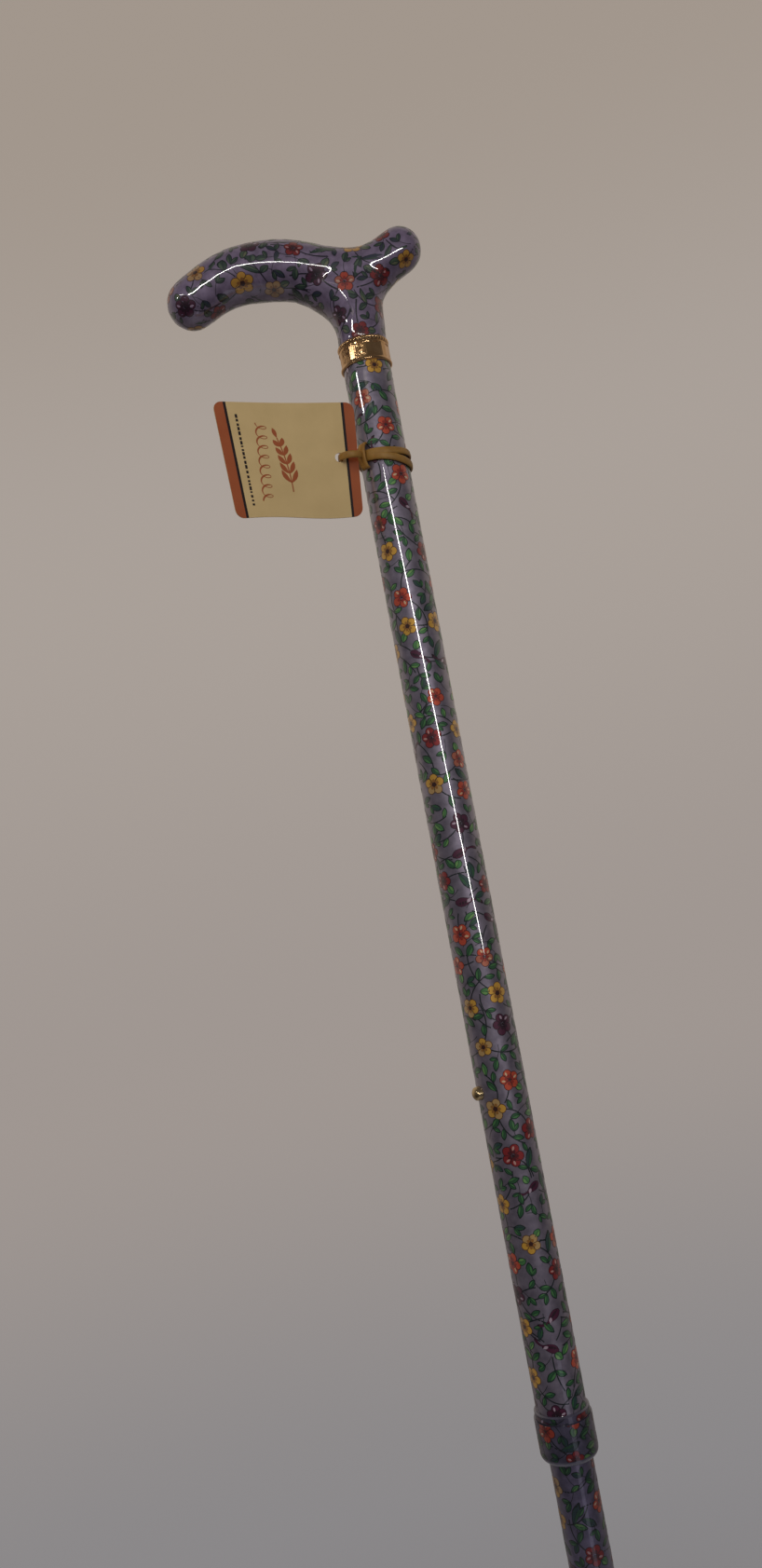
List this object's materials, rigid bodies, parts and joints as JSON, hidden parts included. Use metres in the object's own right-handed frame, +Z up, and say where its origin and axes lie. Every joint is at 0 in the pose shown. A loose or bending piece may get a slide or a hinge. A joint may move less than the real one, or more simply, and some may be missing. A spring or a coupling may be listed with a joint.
{
  "type": "walking cane",
  "caption": "Height-adjustable single-point walking cane with a derby handle, snap-button tube shaft, screw lock ring, gilt collar, rubber ferrule and a hanging tag.",
  "frame": {"origin": "centre of the ferrule's foot, on the ground, with the button in the sixth of the lower tube's thirteen height holes", "axes": "+Z up along the shaft; the handle's long arm and the snap button point to -X, the handle's knob to +X"},
  "size_m": [0.1236, 0.0535, 0.9021],
  "materials": {
    "lacquered_handle": "floral print under thick gloss lacquer",
    "printed_tube": "floral print on metallic lilac, gloss coat",
    "printed_lower_tube": "floral print on darker metallic lilac, gloss coat",
    "printed_plastic": "floral print on metallic lilac, gloss coat",
    "gilt_metal": "polished, embossed",
    "brass": "polished",
    "steel": "bright zinc",
    "plug_wood": "turned, unfinished",
    "black_plastic": "moulded",
    "white_plastic": "moulded",
    "ferrule_rubber": "matt moulded",
    "tag_card": "printed, uncoated",
    "band_rubber": "matt, slightly translucent"
  },
  "bodies": {
    "upper": {"handle": "lacquered_handle", "handle_insert": "brass", "handle_stud": "steel", "tube_plug": "plug_wood", "collar_ring": "gilt_metal", "upper_tube": "printed_tube", "lock_base": "printed_plastic", "button_spring": "steel"},
    "lock_cone": {"lock_collet": "black_plastic"},
    "lock_nut": {"lock_ring": "printed_plastic"},
    "lower": {"lower_tube": "printed_lower_tube", "guide_bush": "white_plastic", "ferrule_washer": "steel", "ferrule": "ferrule_rubber"},
    "button": {"snap_button": "brass"},
    "band": {"tag_band": "band_rubber"},
    "tag": {"swing_tag": "tag_card"}
  },
  "joints": [
    {"name": "height_slide", "type": "slide", "parent": "upper", "child": "lower", "axis": [0, 0, 1], "range_m": [-0.09525, 0.13335]},
    {"name": "button_press", "type": "slide", "parent": "upper", "child": "button", "axis": [0.9205, 0.3907, 0], "range_m": [0, 0.0062], "stiffness_N_per_m": 900, "springref_m": -0.004, "deforming": ["button_spring"]},
    {"name": "lock_travel", "type": "slide", "parent": "upper", "child": "lock_cone", "axis": [0, 0, -1], "range_m": [0, 0.0031]},
    {"name": "lock_turn", "type": "hinge", "parent": "lock_cone", "child": "lock_nut", "pos_m": [0, 0, 0.3445], "axis": [0, 0, -1], "range_deg": [0, 540]},
    {"name": "band_turn", "type": "hinge", "parent": "upper", "child": "band", "pos_m": [0, 0, 0.7883], "axis": [0, 0, 1], "continuous": true},
    {"name": "tag_swing", "type": "hinge", "parent": "band", "child": "tag", "pos_m": [-0.0153, -0.0097, 0.7883], "axis": [0, 0, 1], "range_deg": [-60, 60]}
  ],
  "couplings": [
    {"joint": "lock_travel", "follows": "lock_turn", "m_per_rad": 0.00031831}
  ]
}
